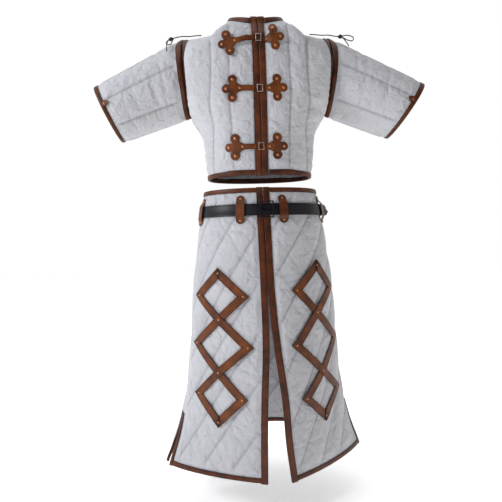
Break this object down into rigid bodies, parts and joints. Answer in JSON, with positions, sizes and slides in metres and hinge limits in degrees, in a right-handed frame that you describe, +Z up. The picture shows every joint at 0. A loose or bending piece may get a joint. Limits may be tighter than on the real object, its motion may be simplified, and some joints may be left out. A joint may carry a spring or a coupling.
{
  "type": "gambeson",
  "caption": "Quilted arming jacket with laced elbow sleeves, trefoil clasps and leather bindings, over a long split quilted skirt with a belt, in worn form.",
  "frame": {"origin": "centre of the neck opening, level with the shoulder points that hang on the wearer", "axes": "+Z up along the wearer's spine, -Y the way the wearer faces, +X the wearer's left"},
  "size_m": [1.1169, 0.5021, 1.4942],
  "materials": {
    "quilted_cloth": "matte, quilted",
    "leather_binding": "satin",
    "leather_straps": "satin",
    "belt_leather": "satin",
    "clasp_metal": "aged",
    "lace_cord": "matte"
  },
  "bodies": {
    "root": {"jacket_back": "quilted_cloth", "jacket_front_right": "quilted_cloth", "jacket_front_left": "quilted_cloth", "sleeve_right": "quilted_cloth", "sleeve_left": "quilted_cloth", "skirt_front_right": "quilted_cloth", "skirt_front_left": "quilted_cloth", "skirt_back": "quilted_cloth", "neck_binding": "leather_binding", "front_strip_right": "leather_binding", "front_strip_left": "leather_binding", "hem_binding_right": "leather_binding", "hem_binding_left": "leather_binding", "hem_binding_back": "leather_binding", "armhole_binding_right": "leather_binding", "armhole_binding_left": "leather_binding", "sleeve_head_binding_right": "leather_binding", "sleeve_head_binding_left": "leather_binding", "cuff_binding_right": "leather_binding", "cuff_binding_left": "leather_binding", "waistband": "leather_binding", "skirt_strip_right": "leather_binding", "skirt_strip_left": "leather_binding", "skirt_hem_binding_right": "leather_binding", "skirt_hem_binding_left": "leather_binding", "skirt_hem_binding_back": "leather_binding", "slit_binding_front_right": "leather_binding", "slit_binding_front_left": "leather_binding", "slit_binding_back_right": "leather_binding", "slit_binding_back_left": "leather_binding", "cuff_tab_right": "leather_straps", "cuff_tab_left": "leather_straps", "clasp_1_right": "leather_straps", "clasp_1_left": "leather_straps", "clasp_2_right": "leather_straps", "clasp_2_left": "leather_straps", "clasp_3_right": "leather_straps", "clasp_3_left": "leather_straps", "lozenge_chain_right": "leather_straps", "lozenge_chain_left": "leather_straps", "belt_loop_front_right": "leather_straps", "belt_loop_front_left": "leather_straps", "belt_loop_side_right": "leather_straps", "belt_loop_side_left": "leather_straps", "belt_loop_back_right": "leather_straps", "belt_loop_back_left": "leather_straps", "belt": "belt_leather", "clasp_1_ring": "clasp_metal", "clasp_2_ring": "clasp_metal", "clasp_3_ring": "clasp_metal", "belt_buckle": "clasp_metal", "shoulder_lace_right": "lace_cord", "shoulder_lace_left": "lace_cord"}
  },
  "joints": []
}
